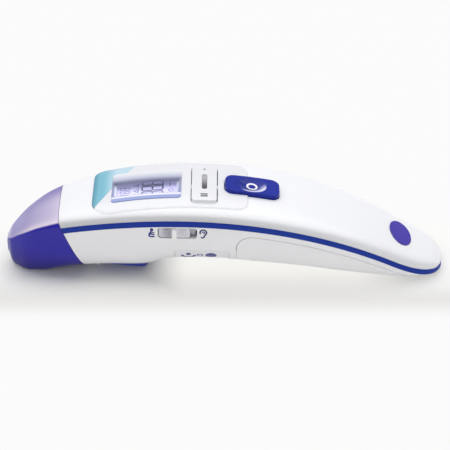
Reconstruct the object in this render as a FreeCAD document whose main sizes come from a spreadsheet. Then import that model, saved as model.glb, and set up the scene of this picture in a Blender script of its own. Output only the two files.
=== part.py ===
"""Digital ear and forehead thermometer, modelled in millimetres.

The body is a curved wand that lies on its back with the display up. +X runs from the nose of the
protective cap to the tail, +Y to the user's far side and +Z up. The origin is the centre of the
bounding box on the surface that the wand rests on. The skin is one lofted form: a shallow deck above
the split line and a deep hull below it. Every skin piece is that form, grown or shrunk by its own
thickness and trimmed by its own outline, so that neighbours always follow the same surface.
"""
import FreeCAD
import Part
import Sketcher
import math
import os

V = FreeCAD.Vector
doc = FreeCAD.newDocument("ear_thermometer")
sheet = doc.addObject("Spreadsheet::Sheet", "Sizes")

SIZES = {
    # overall form
    "overall_length": 158.0,
    "cap_length": 21.4,
    "half_width": 19.2,
    "neck_half_width": 13.6,
    "tail_half_width": 14.6,
    "widest_from_rim": 59.6,
    "peak_from_rim": 43.6,
    "peak_split_height": 29.1,
    "tail_rise_length": 19.0,
    "tail_split_height": 9.3,
    "tail_end_height": 1.6,
    "nose_split_height": 9.5,
    "deck_height": 4.2,
    "tail_round": 16.0,
    "rim_tilt": 22.2,
    # skins
    "shell_wall": 1.6,
    "cap_wall": 1.4,
    "cap_gap": 0.25,
    "spigot_length": 3.4,
    "part_gap": 0.15,
    "band_width": 2.2,
    "band_proud": 0.15,
    # fascia and display
    "fascia_from_rim": 38.35,
    "fascia_length": 55.2,
    "fascia_width": 28.0,
    "fascia_corner": 4.0,
    "fascia_near_corner": 8.0,
    "fascia_proud": 0.5,
    "fascia_seat": 0.8,
    "window_from_rim": 29.95,
    "window_length": 24.7,
    "window_width": 17.8,
    "window_corner": 1.4,
    "window_proud": 0.8,
    "lcd_depth": 3.9,
    "lcd_margin": 1.6,
    # keys
    "key_from_rim": 50.55,
    "key_length": 8.9,
    "key_width": 23.4,
    "key_corner": 1.5,
    "key_proud": 1.5,
    "key_gap": 0.3,
    "pill_length": 9.6,
    "pill_width": 1.9,
    "pill_depth": 0.8,
    "scan_from_rim": 67.5,
    "scan_length": 19.5,
    "scan_width": 10.4,
    "scan_corner": 3.0,
    "scan_proud": 1.6,
    "scan_travel": 0.5,
    "dish_length": 11.2,
    "dish_width": 9.0,
    "dish_depth": 0.9,
    # board and switches
    "board_drop": 5.8,
    "board_thick": 1.2,
    "board_length": 62.0,
    "board_width": 24.0,
    "switch_side": 4.5,
    "switch_height": 1.5,
    "plunger_radius": 1.0,
    "plunger_height": 0.5,
    "stem_radius": 1.3,
    "chip_side": 7.0,
    "chip_height": 1.0,
    "buzzer_radius": 6.0,
    "buzzer_height": 2.4,
    # mode slider
    "slot_from_rim": 41.2,
    "slot_length": 13.8,
    "slot_height": 4.6,
    "slot_above": 25.1,
    "slider_length": 11.0,
    "slider_travel": 2.2,
    "slide_case_height": 3.6,
    "slide_case_depth": 3.0,
    # probe
    "probe_tilt": 15.0,
    "probe_base_height": 15.0,
    "probe_length": 18.0,
    "probe_base_radius": 8.0,
    "probe_tip_radius": 3.7,
    "guide_radius": 2.5,
    "guide_wall": 0.6,
    "can_radius": 2.7,
    "can_length": 3.6,
    "block_radius": 4.6,
    "block_length": 9.0,
    "plug_thick": 3.0,
    # batteries
    "cell_radius": 5.25,
    "cell_length": 43.3,
    "nub_radius": 1.9,
    "nub_length": 1.2,
    "cell_pitch": 10.9,
    "cell_from_rim": 87.6,
    "cell_rise": 8.9,
    "cell_tilt": 9.0,
    "tray_wall": 0.9,
    "contact_room": 2.2,
    "contact_thick": 0.3,
    "spring_wire": 0.4,
    "door_from_rim": 62.0,
    "door_length": 61.6,
    "door_drop": 3.75,
    "door_corner": 5.0,
    # small pieces
    "screw_radius": 1.1,
    "screw_length": 3.6,
    "screw_head_radius": 2.0,
    "screw_head_height": 1.2,
    "post_radius": 1.9,
    "badge_from_rim": 121.6,
    "badge_length": 7.8,
    "badge_width": 14.0,
    "badge_proud": 0.35,
    "pad_behind_rim": 10.9,
    "pad_length": 19.6,
    "pad_width": 16.0,
    "pad_thick": 3.4,
    "pad_lean": 7.0,
    "pad_swing": 2.4,
    "pin_radius": 0.6,
    "label_from_rim": 49.7,
    "label_length": 19.2,
    "label_height": 8.4,
    "label_above": 12.7,
}
for row, (alias, value) in enumerate(SIZES.items(), start=1):
    sheet.set(f"A{row}", alias)
    sheet.set(f"B{row}", str(value))
    sheet.setAlias(f"B{row}", alias)
doc.recompute()


def size(alias):
    """The value of one named cell."""
    return float(getattr(sheet, alias))


HALF_LENGTH = size("overall_length") / 2
RIM_X = -HALF_LENGTH + size("cap_length")
BODY_LENGTH = HALF_LENGTH - RIM_X
PEAK_X = RIM_X + size("peak_from_rim")
RISE_X = HALF_LENGTH - size("tail_rise_length")
BIG = 200.0  # reach of the cutting tools beyond the body
NOSE_END = 0.985  # the loft's last nose section, as a share of the cap's length
TAIL_END = 0.99  # the loft's last tail section, as a share of the tail's round

# Underside height along the body: share of the way from the rim to the tail, height above the table.
KEEL = [
    (0.0, 0.9), (0.041, 2.1), (0.100, 3.1), (0.202, 3.7), (0.226, 4.3), (0.262, 6.5), (0.348, 7.1),
    (0.422, 6.8), (0.502, 5.7), (0.627, 3.6), (0.729, 1.3), (0.810, -0.1), (0.870, -0.45),
    (0.925, -0.4), (0.963, 0.0), (1.0, 0.5),
]


# ---------------------------------------------------------------- the form
def arch_radius():
    """Radius of the arch through its peak and the start of the tail."""
    run = RISE_X - PEAK_X
    drop = size("peak_split_height") - size("tail_split_height")
    return (run ** 2 + drop ** 2) / (2 * drop)


def split_height(x):
    """Height of the split line, the middle of the trim band, at x."""
    radius = arch_radius()
    peak = size("peak_split_height")

    def arch(at):
        return peak - radius + math.sqrt(radius ** 2 - (at - PEAK_X) ** 2)

    def slope(at):
        return -(at - PEAK_X) / math.sqrt(radius ** 2 - (at - PEAK_X) ** 2)

    if x > RISE_X:
        run = size("tail_rise_length")
        lift = (size("tail_end_height") - arch(RISE_X) - slope(RISE_X) * run) / run ** 2
        return arch(RISE_X) + slope(RISE_X) * (x - RISE_X) + lift * (x - RISE_X) ** 2
    if x < RIM_X:
        run = size("cap_length")
        drop = (arch(RIM_X) - slope(RIM_X) * run - size("nose_split_height")) / run ** 2
        return arch(RIM_X) - slope(RIM_X) * (RIM_X - x) - drop * (RIM_X - x) ** 2
    return arch(x)


def split_slope(x):
    """Slope of the split line at x, as an angle in degrees, positive when it rises towards the tail."""
    step = 0.01
    return math.degrees(math.atan2(split_height(x + step) - split_height(x - step), 2 * step))


def rounding(share, power):
    """A superellipse's height over a share of its half length."""
    return (1 - min(share, 1.0) ** power) ** (1 / power)


def keel_height(x):
    """Height of the underside's middle behind the rim, by a cubic through the keel's points."""
    share = (x - RIM_X) / BODY_LENGTH
    last = len(KEEL) - 2
    i = next((k for k in range(last + 1) if share <= KEEL[k + 1][0]), last)
    (a, za), (b, zb) = KEEL[i], KEEL[i + 1]

    def tangent(k):
        low, high = KEEL[max(k - 1, 0)], KEEL[min(k + 1, last + 1)]
        return (high[1] - low[1]) / (high[0] - low[0])

    t = (share - a) / (b - a)
    return (
        (2 * t ** 3 - 3 * t ** 2 + 1) * za
        + (t ** 3 - 2 * t ** 2 + t) * (b - a) * tangent(i)
        + (3 * t ** 2 - 2 * t ** 3) * zb
        + (t ** 3 - t ** 2) * (b - a) * tangent(i + 1)
    )


def width_at(x):
    """Half width of the form at the split line."""
    widest = RIM_X + size("widest_from_rim")
    full = size("half_width")
    if x < RIM_X:
        run = RIM_X - x
        taper = 0.21 * run
        return (size("neck_half_width") - taper) * rounding(run / size("cap_length"), 2.3)
    if x < widest:
        return full - (full - size("neck_half_width")) * ((widest - x) / size("widest_from_rim")) ** 2.4
    tail_start = HALF_LENGTH - size("tail_round") - 1.0
    plain = full - (full - size("tail_half_width")) * ((x - widest) / (tail_start - widest)) ** 1.9
    return plain * rounding(max(0.0, (x - HALF_LENGTH) / size("tail_round") + 1), 3.1)


def deck_at(x):
    """Height of the deck's middle above the split line."""
    full = size("deck_height")
    if x < RIM_X:
        return full * rounding((RIM_X - x) / size("cap_length"), 3)
    share = max(0.0, (x - HALF_LENGTH) / size("tail_round") + 1)
    return full * (0.2 + 0.8 * rounding(share, 2.1)) * (1 + 0.2 * max(0.0, (x - PEAK_X) / HALF_LENGTH))


def hull_at(x):
    """Depth of the hull's middle below the split line."""
    if x < RIM_X:
        return (split_height(RIM_X) - keel_height(RIM_X)) * rounding((RIM_X - x) / size("cap_length"), 2.25)
    return split_height(x) - keel_height(x)


def section(x, grow):
    """One cross-section as four quarter curves: two over the deck and two round the hull."""
    least = 0.4
    mid = split_height(x)
    wide = max(width_at(x) + grow, least)
    up = max(deck_at(x) + grow, least)
    down = max(hull_at(x) + grow, least)

    def quarter(side, rise, stand, reach):
        poles = [V(x, side * wide, mid), V(x, side * wide, mid + stand * rise),
                 V(x, side * reach * wide, mid + rise), V(x, 0, mid + rise)]
        return poles

    deck_stand, deck_reach, hull_stand, hull_reach = 0.9, 0.88, 0.63, 0.78
    corners = [
        quarter(-1, up, deck_stand, deck_reach),
        quarter(1, up, deck_stand, deck_reach)[::-1],
        quarter(1, -down, hull_stand, hull_reach),
        quarter(-1, -down, hull_stand, hull_reach)[::-1],
    ]
    edges = []
    for poles in corners:
        curve = Part.BezierCurve()
        curve.setPoles(poles)
        edges.append(curve.toShape())
    return Part.Wire(edges)


def stations(grow):
    """X of every section, closer together at the two rounded ends. The ends move with the offset."""
    nose = -HALF_LENGTH - grow
    shares = [NOSE_END, 0.94, 0.86, 0.74, 0.58, 0.4, 0.2]
    front = [RIM_X - share * (RIM_X - nose) for share in shares]
    body = [RIM_X + share * BODY_LENGTH for share in
            (0, 0.05, 0.1, 0.15, 0.205, 0.235, 0.262, 0.30, 0.36, 0.43, 0.50, 0.57, 0.64, 0.71, 0.77, 0.83)]
    tail_start = HALF_LENGTH - size("tail_round")
    reach = size("tail_round") + grow
    back = [tail_start + share * reach for share in (0.2, 0.4, 0.6, 0.76, 0.88, 0.95, TAIL_END)]
    return front + body + back


forms = {}


def form(grow=0.0):
    """The whole form as one solid, grown outwards by a distance, or shrunk when it is negative."""
    key = round(grow, 4)
    if key not in forms:
        outer, shifted = stations(0), stations(grow)
        wires = []
        for x_shape, x_place in zip(outer, shifted):
            wire = section(x_shape, grow)
            wire.translate(V(x_place - x_shape, 0, 0))
            wires.append(wire)
        solid = Part.makeLoft(wires, True, False, False, 3)
        if solid.Volume < 0:
            solid.reverse()
        above_table = Part.makeBox(2 * BIG, BIG, BIG, V(-BIG, -BIG / 2, max(0.0, -grow)))
        forms[key] = solid.common(above_table)
    return forms[key]




# ---------------------------------------------------------------- cutting tools
def slab(x0, x1, half_width, corner, low=15.0, high=60.0):
    """An upright block with rounded corners, to trim a skin to its outline seen from above."""
    block = Part.makeBox(x1 - x0, 2 * half_width, high - low, V(x0, -half_width, low))
    upright = [e for e in block.Edges if abs(e.Vertexes[0].Z - e.Vertexes[1].Z) > 1]
    return block.makeFillet(corner, upright) if corner > 0 else block


def across(points, near=-BIG, far=BIG):
    """A prism through the body from side to side, from an outline seen from the side."""
    wire = Part.makePolygon([V(x, near, z) for x, z in points + points[:1]])
    return Part.Face(wire).extrude(V(0, far - near, 0))


def side_slab(x0, x1, z0, z1, corner, near=-BIG, far=0.0):
    """A block across the body with rounded corners, to trim a skin to its outline seen from the side."""
    block = Part.makeBox(x1 - x0, far - near, z1 - z0, V(x0, near, z0))
    along = [e for e in block.Edges if abs(e.Vertexes[0].Y - e.Vertexes[1].Y) > 1]
    return block.makeFillet(corner, along) if corner > 0 else block


def split_line(offset, x0=-HALF_LENGTH - 8, x1=HALF_LENGTH + 8):
    """The split line's curve, moved up by an offset."""
    count = 48
    knots = [x0 + (x1 - x0) * k / count for k in range(count + 1)]
    curve = Part.BSplineCurve()
    curve.interpolate([V(x, -BIG, split_height(x) + offset) for x in knots])
    return curve.toShape()


def over_split(offset):
    """Everything above the split line moved up by an offset."""
    low = split_line(offset)
    a, b = low.Vertexes[0].Point, low.Vertexes[-1].Point
    rest = Part.makePolygon([b, V(b.x, -BIG, BIG), V(a.x, -BIG, BIG), a])
    return Part.Face(Part.Wire([low] + rest.Edges)).extrude(V(0, 2 * BIG, 0))


def rim_point(z, ahead=0.0):
    """X of the rim's plane at a height, moved towards the nose by a distance square to the plane."""
    tilt = math.radians(size("rim_tilt"))
    return RIM_X + 0.3 - (z - split_height(RIM_X)) * math.tan(tilt) - ahead / math.cos(tilt)


def behind_rim(ahead=0.0):
    """Everything on the tail's side of the rim's plane."""
    low, high = -BIG / 2, BIG / 2
    return across([(rim_point(low, ahead), low), (BIG, low), (BIG, high), (rim_point(high, ahead), high)])


def skin(outer, inner):
    """The layer of the form between two offsets."""
    return form(outer).cut(form(inner))


def crest(x):
    """Height of the deck's middle at x."""
    return split_height(x) + deck_at(x)


def lay(x, drop=0.0, y=0.0):
    """The frame on the deck's middle at x, x along the deck and z square to it, sunk by a distance."""
    turn = FreeCAD.Rotation(V(0, 1, 0), -split_slope(x))
    return FreeCAD.Placement(V(x, y, crest(x)) + turn.multVec(V(0, 0, -drop)), turn)


def placed(shape, placement):
    """A copy of a shape moved to a frame."""
    copy = shape.copy()
    copy.Placement = placement.multiply(copy.Placement)
    return copy


def rod(radius, start, end):
    """A round bar between two points."""
    return Part.makeCylinder(radius, (end - start).Length, start, end - start)


# ---------------------------------------------------------------- the document's objects
pieces = []


def piece(label, shape):
    """One sub-part with a computed shape."""
    item = doc.addObject("Part::Feature", label)
    item.Label = label
    item.Shape = shape
    pieces.append(item)
    return item


def new_sketch(body, name, plane=3):
    """A sketch on one of a body's origin planes: 3 is XY, 4 is XZ, 5 is YZ."""
    sketch = body.newObject("Sketcher::SketchObject", name)
    sketch.AttachmentSupport = [(body.Origin.OriginFeatures[plane], "")]
    sketch.MapMode = "FlatFace"
    return sketch


def bind(sketch, constraint, name, expression):
    """Adds a constraint and drives its value from the sheet."""
    index = sketch.addConstraint(constraint)
    sketch.renameConstraint(index, name)
    sketch.setExpression(f"Constraints.{name}", expression)


def draw_rectangle(sketch, length, width):
    """A rectangle centred on the sketch's origin."""
    corners = [V(-1, -1, 0), V(1, -1, 0), V(1, 1, 0), V(-1, 1, 0)]
    for i in range(4):
        sketch.addGeometry(Part.LineSegment(corners[i], corners[(i + 1) % 4]))
    for i in range(4):
        sketch.addConstraint(Sketcher.Constraint("Coincident", i, 2, (i + 1) % 4, 1))
    for i, direction in enumerate(["Horizontal", "Vertical", "Horizontal", "Vertical"]):
        sketch.addConstraint(Sketcher.Constraint(direction, i))
    sketch.addConstraint(Sketcher.Constraint("Symmetric", 0, 1, 1, 2, -1, 1))
    bind(sketch, Sketcher.Constraint("DistanceX", 0, 1, 0, 2, 2.0), "along", length)
    bind(sketch, Sketcher.Constraint("DistanceY", 1, 1, 1, 2, 2.0), "wide", width)


def draw_circle(sketch, radius, x=0.0, y=0.0):
    """A circle with its centre at fixed distances from the sketch's origin."""
    index = sketch.addGeometry(Part.Circle(V(x, y, 0), V(0, 0, 1), 1.0))
    if abs(x) + abs(y) < 1e-9:
        sketch.addConstraint(Sketcher.Constraint("Coincident", index, 3, -1, 1))
    else:
        sketch.addConstraint(Sketcher.Constraint("DistanceX", index, 3, x))
        sketch.addConstraint(Sketcher.Constraint("DistanceY", index, 3, y))
    bind(sketch, Sketcher.Constraint("Radius", index, 1.0), f"radius{index}", radius)


def pad(body, sketch, name, length, reverse=False):
    """Raises a sketch by a length from the sheet."""
    feature = body.newObject("PartDesign::Pad", name)
    feature.Profile = sketch
    feature.setExpression("Length", length)
    feature.Reversed = reverse
    body.Tip = feature
    return feature


def pocket(body, sketch, name, depth):
    """Sinks a sketch by a depth from the sheet."""
    feature = body.newObject("PartDesign::Pocket", name)
    feature.Profile = sketch
    feature.setExpression("Length", depth)
    body.Tip = feature
    return feature


def new_body(label, placement):
    """An empty body at its place in the wand."""
    body = doc.addObject("PartDesign::Body", label)
    body.Label = label
    body.Placement = placement
    pieces.append(body)
    return body


def at(x, y, z, tilt=0.0):
    """A frame at a point, turned about the side-to-side axis; positive lowers the tail end."""
    return FreeCAD.Placement(V(x, y, z), FreeCAD.Rotation(V(0, 1, 0), tilt))


WALL = size("shell_wall")
GAP = size("part_gap")
HALF_BAND = size("band_width") / 2

# ---------------------------------------------------------------- positions
BOARD_TOP = crest(PEAK_X) - WALL - size("board_drop")
BOARD_LOW = BOARD_TOP - size("board_thick")
FASCIA_X = RIM_X + size("fascia_from_rim")
WINDOW_X = RIM_X + size("window_from_rim")
KEY_X = RIM_X + size("key_from_rim")
SCAN_X = RIM_X + size("scan_from_rim")
SLOT_X = RIM_X + size("slot_from_rim")
CELL_X = RIM_X + size("cell_from_rim")
DOOR_X = RIM_X + size("door_from_rim")
BADGE_X = RIM_X + size("badge_from_rim")
BUZZER_X = PEAK_X + 13
PAD_X = rim_point(0.0) + size("pad_behind_rim")
LABEL_X = RIM_X + size("label_from_rim")
POST_X = [PEAK_X - size("board_length") / 2 + 2.3, PEAK_X + size("board_length") / 2 - 2.3]
POST_Y = size("board_width") / 2 - 2.4
POSTS = [V(x, side * POST_Y, BOARD_TOP) for x in POST_X for side in (-1, 1)]
KEY_SWITCH_Y = size("key_width") / 2 - 3.4
SWITCH_TOP = size("switch_height") + size("plunger_height")
PIN_HALF = size("pad_width") / 2 + 1.6


def fascia_slab(grow=0.0):
    """The fascia's outline seen from above. The near corner at its front is rounder than the others."""
    half = size("fascia_length") / 2 + grow
    wide = size("fascia_width") / 2 + grow
    outline = slab(FASCIA_X - half, FASCIA_X + half, wide, size("fascia_corner"))
    radius = size("fascia_near_corner")
    centre = V(FASCIA_X - half + radius, -wide + radius, 0)
    bite = Part.makeBox(radius + 1, radius + 1, 80, centre - V(radius + 1, radius + 1, 0))
    return outline.cut(bite.cut(Part.makeCylinder(radius, 80, centre)))


def corner_side(shift=0.0):
    """Everything ahead of the slanting joint between the fascia and its corner inlay."""
    middle_x = FASCIA_X - size("fascia_length") / 2 + 6.6 + shift
    slope = 0.56
    outline = [V(-BIG, -BIG, 10), V(middle_x - slope * BIG, -BIG, 10),
               V(middle_x + slope * BIG, BIG, 10), V(-BIG, BIG, 10)]
    return Part.Face(Part.makePolygon(outline + outline[:1])).extrude(V(0, 0, 60))


def window_slab(grow=0.0):
    """The display window's outline."""
    half = size("window_length") / 2 + grow
    wide = size("window_width") / 2 + grow
    return slab(WINDOW_X - half, WINDOW_X + half, wide, size("window_corner"))


def key_slab(grow=0.0):
    """The rocker key's outline."""
    half = size("key_length") / 2 + grow
    return slab(KEY_X - half, KEY_X + half, size("key_width") / 2 + grow, size("key_corner"))


def scan_slab(grow=0.0):
    """The scan button's outline, square to the deck at the button."""
    half = size("scan_length") / 2 + grow
    wide = size("scan_width") / 2 + grow
    upright = slab(-half, half, wide, size("scan_corner") + grow, -8.0, 12.0)
    return placed(upright, lay(SCAN_X))


# ---------------------------------------------------------------- shells, band and cap
deck_side = over_split(HALF_BAND + 0.05)
band_low = over_split(-HALF_BAND)
band_high = over_split(HALF_BAND)
tail_side = behind_rim()

upper = skin(0, -WALL).common(deck_side).common(tail_side)
outside = form(6.0)
upper = upper.cut(outside.cut(form(-size("fascia_seat"))).common(fascia_slab(0.1)))
upper = upper.cut(window_slab(-size("lcd_margin")))
key_hole = key_slab(size("key_gap"))
key_rib = Part.makeBox(60, 2.4, 60, V(KEY_X - 30, -1.2, 0))
upper = upper.cut(key_hole.cut(key_rib))
upper = upper.cut(scan_slab(size("key_gap")))
badge_tool = Part.makeCylinder(1, 40, V(0, 0, 0))
stretch = FreeCAD.Matrix()
stretch.scale(size("badge_length") / 2, size("badge_width") / 2, 1)
badge_tool = placed(badge_tool.transformGeometry(stretch), at(BADGE_X, 0, 0))
stretch = FreeCAD.Matrix()
stretch.scale(size("badge_length") / 2 + 0.06, size("badge_width") / 2 + 0.06, 1)
badge_hole = placed(Part.makeCylinder(1, 40).transformGeometry(stretch), at(BADGE_X, 0, 0))
upper = upper.cut(outside.cut(form(-0.7)).common(badge_hole))
for foot in POSTS:
    post = rod(size("post_radius"), foot, V(foot.x, foot.y, foot.z + 20)).common(form(-WALL / 2))
    upper = upper.fuse(post)
for foot in POSTS:
    upper = upper.cut(rod(size("screw_radius") + 0.03, foot - V(0, 0, 1), foot + V(0, 0, 2.7)))
piece("upper_shell", upper)

slot_half = size("slot_length") / 2
slot_low = size("slot_above") - size("slot_height") / 2
slot_high = size("slot_above") + size("slot_height") / 2
door_back = DOOR_X + size("door_length")


def door_tool(grow=0.0):
    """The battery door's outline seen from the side, open below."""
    x0, x1 = DOOR_X - grow, door_back + grow
    block = side_slab(x0, x1, -40, 60, 0, -BIG, BIG)
    block = block.cut(over_split(-size("door_drop") + grow))
    corner = size("door_corner")
    top = split_height(x0 + corner) - size("door_drop") + grow
    bite = side_slab(x0 - 1, x0 + corner, top - corner, 60, 0, -BIG, BIG)
    centre = V(x0 + corner, -BIG, top - corner - 0.2)
    bite = bite.cut(rod(corner, centre, centre + V(0, 2 * BIG, 0)))
    return block.cut(bite)


def pad_tool(grow=0.0):
    """The trigger's outline seen from below."""
    half = size("pad_length") / 2 + grow
    return slab(PAD_X - half, PAD_X + half, size("pad_width") / 2 + grow, 3.0, -20.0, 16.0)


lower = skin(0, -WALL).cut(over_split(-HALF_BAND - 0.05)).common(tail_side)
lower = lower.cut(door_tool(GAP))
lower = lower.cut(side_slab(SLOT_X - slot_half, SLOT_X + slot_half, slot_low, slot_high, 1.2))
lower = lower.cut(pad_tool(0.3))
label_half = size("label_length") / 2
label_low = size("label_above") - size("label_height") / 2
label_high = size("label_above") + size("label_height") / 2
label_hole = side_slab(LABEL_X - label_half - 0.1, LABEL_X + label_half + 0.1, label_low - 0.1,
                       label_high + 0.1, 1.5, -BIG, -4.0)
lower = lower.cut(outside.cut(form(-0.52)).common(label_hole))
bridge_x = PAD_X + size("pad_length") / 2 - 5.0
pin_x = PAD_X - size("pad_length") / 2 + 1.6
pin_z = keel_height(pin_x) + 2.6
pad_drop = (bridge_x - pin_x) * math.sin(math.radians(size("pad_lean")))
pad_rise = (bridge_x - pin_x) * math.sin(math.radians(size("pad_swing")))
pad_inside = keel_height(bridge_x) + size("pad_thick") - pad_drop
boss_top = pad_inside + 1.3
bridge_low = boss_top + pad_rise + 0.08 + SWITCH_TOP
bridge = Part.makeBox(7.0, 60, 1.2, V(bridge_x - 3.5, -30, bridge_low)).common(form(-WALL / 2))
lower = lower.fuse(bridge)
for side in (-1, 1):
    lug_y = side * (size("pad_width") / 2 + 1.4)
    lug = Part.makeBox(3.4, 1.8, 4.0, V(pin_x - 1.7, lug_y - 0.9, pin_z - 2.0)).common(form(-0.4))
    lower = lower.fuse(lug)
lower = lower.cut(rod(size("pin_radius") + 0.03, V(pin_x, -PIN_HALF - 0.05, pin_z), V(pin_x, PIN_HALF + 0.05, pin_z)))
piece("lower_shell", lower)

band = skin(size("band_proud"), -WALL).common(band_low).cut(band_high).common(tail_side)
piece("trim_band", band)

cap = skin(0, -size("cap_wall")).cut(behind_rim(GAP))
piece("protective_cap", cap)

# ---------------------------------------------------------------- probe
probe_base = V(rim_point(size("probe_base_height")), 0, size("probe_base_height"))
probe_turn = FreeCAD.Rotation(V(0, 1, 0), -90 - size("probe_tilt"))
probe_frame = FreeCAD.Placement(probe_base, probe_turn)


def turned(profile):
    """A solid turned about the probe's axis, from points of (radius, distance towards the tip)."""
    points = [V(r, 0, d) for r, d in profile]
    wire = Part.makePolygon(points + points[:1])
    return placed(Part.Face(wire).revolve(V(0, 0, 0), V(0, 0, 1), 360), probe_frame)


tip = size("probe_length")
base_r = size("probe_base_radius")
tip_r = size("probe_tip_radius")
guide_r = size("guide_radius")
block_r = size("block_radius")
block_end = size("block_length") - 2.0
spigot_inset = max(size("cap_wall") + size("cap_gap"), WALL + 0.05)
plug = form(-spigot_inset).common(behind_rim(size("spigot_length")))
plug = plug.cut(behind_rim(-size("plug_thick")))
above_mouth = across([(-BIG, 5.8), (BIG, 5.8), (BIG, BIG), (-BIG, BIG)])
outer_ring = plug.cut(behind_rim(-0.2)).common(above_mouth)
hollow = form(-spigot_inset - 1.3).common(behind_rim(size("spigot_length") + 1))
hollow = hollow.common(across([(-BIG, 7.1), (BIG, 7.1), (BIG, BIG), (-BIG, BIG)])).cut(behind_rim(0.0))
inside_plug = form(-WALL - 0.1).common(behind_rim(-0.2)).cut(behind_rim(-size("plug_thick")))
nose = inside_plug.fuse(outer_ring.cut(hollow))
cone = turned([(0, -1.5), (base_r + 0.8, -1.5), (base_r, 0.8), (tip_r + 0.35, tip - 1.4),
               (tip_r - 0.2, tip - 0.35), (tip_r - 0.8, tip), (0, tip)])
nose = nose.fuse(cone)
nose = nose.cut(turned([(0, -8), (block_r + 0.05, -8), (block_r + 0.05, block_end + 0.05),
                        (guide_r + 0.04, block_end + 0.05), (guide_r + 0.04, tip + 1), (0, tip + 1)]))
piece("probe_nose", nose)

bore_r = guide_r - size("guide_wall")
piece("ear_waveguide", turned([(bore_r, 1.7), (guide_r, 1.7), (guide_r, tip - 0.7), (bore_r, tip - 0.7)]))
piece("probe_window", turned([(0, tip - 0.65), (guide_r, tip - 0.65), (guide_r, tip - 0.15), (0, tip - 0.15)]))
can_r = size("can_radius")
piece("sensor_can", turned([(0, 1.6 - size("can_length")), (can_r + 0.5, 1.6 - size("can_length")),
                            (can_r + 0.5, 2.0 - size("can_length")), (can_r, 2.0 - size("can_length")),
                            (can_r, 1.65), (0, 1.65)]))
piece("sensor_block", turned([(can_r + 0.55, -2.05), (block_r, -2.05), (block_r, block_end),
                              (guide_r + 0.03, block_end), (guide_r + 0.03, 1.75), (can_r + 0.04, 1.7),
                              (can_r + 0.04, 0.0), (can_r + 0.55, 0.0)]))
piece("sensor_board", turned([(0, -3.1), (block_r - 0.05, -3.1), (block_r - 0.05, -2.1), (0, -2.1)]))

# ---------------------------------------------------------------- fascia and display
plate = skin(size("fascia_proud"), -size("fascia_seat") + 0.07).common(fascia_slab())
deck_only = over_split(HALF_BAND)
plate = plate.common(deck_only).cut(window_slab(0.1)).cut(key_slab(size("key_gap"))).cut(scan_slab(size("key_gap")))
piece("fascia", plate.cut(corner_side(0.05)))
piece("fascia_corner", plate.common(corner_side(-0.05)))
lens = skin(size("window_proud"), -size("fascia_seat") + 0.07).common(window_slab())
piece("display_lens", lens.common(deck_only))

glass_length = size("window_length") - 1.8
glass_width = size("window_width") - 1.8
glass_top = size("lcd_depth") - 1.3
glass = Part.makeBox(glass_length, glass_width, 1.3, V(-glass_length / 2, -glass_width / 2, -1.3))
piece("lcd_glass", placed(glass, lay(WINDOW_X, glass_top)))
light = Part.makeBox(glass_length, glass_width, 0.9, V(-glass_length / 2, -glass_width / 2, -0.9))
piece("lcd_backlight", placed(light, lay(WINDOW_X, glass_top + 1.35)))
above_board = Part.makeBox(BIG, BIG, BIG, V(-BIG / 2, -BIG / 2, BOARD_TOP + 0.02))
rim_long, rim_wide = glass_length + 2.0, glass_width + 1.6
holder = Part.makeBox(rim_long, rim_wide, 12, V(-rim_long / 2, -rim_wide / 2, -12))
holder = holder.cut(Part.makeBox(glass_length + 0.1, glass_width + 0.1, 2.35,
                                 V(-glass_length / 2 - 0.05, -glass_width / 2 - 0.05, -2.35)))
holder = holder.cut(Part.makeBox(glass_length - 2, glass_width - 2, 14,
                                 V(-glass_length / 2 + 1, -glass_width / 2 + 1, -13)))
holder = placed(holder, lay(WINDOW_X, glass_top)).common(above_board)
piece("lcd_holder", holder.common(form(-WALL - 0.15)))
strip = Part.makeBox(glass_length - 3, 1.6, 12, V(-glass_length / 2 + 1.5, glass_width / 2 - 3.0, -12 - 2.4))
piece("lcd_contact_strip", placed(strip, lay(WINDOW_X, glass_top)).common(above_board))

# ---------------------------------------------------------------- rocker key and scan button
key = skin(size("key_proud"), -0.65).common(key_slab())
pill = Part.makeBox(size("pill_width"), size("pill_length"), 8.0,
                    V(-size("pill_width") / 2, -size("pill_length") / 2, -4.0))
pill_edges = [e for e in pill.Edges if abs(e.Vertexes[0].Z - e.Vertexes[1].Z) > 1]
pill = placed(pill.makeFillet(size("pill_width") / 2 - 0.02, pill_edges), lay(KEY_X))
pill_floor = size("key_proud") - size("pill_depth")
key = key.cut(pill.cut(form(pill_floor)))
for side in (-1, 1):
    foot_z = BOARD_TOP + SWITCH_TOP + 0.45
    foot = V(KEY_X, side * KEY_SWITCH_Y, foot_z)
    key = key.fuse(rod(size("stem_radius"), foot, V(foot.x, foot.y, crest(KEY_X) - 0.4)))
piece("rocker_key", key)
inlay = pill.common(skin(size("key_proud") - 0.3, pill_floor + 0.02))
piece("key_inlay", inlay.common(placed(Part.makeBox(1.8, 9.5, 20, V(-0.9, -4.75, -10)), lay(KEY_X))))

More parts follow.
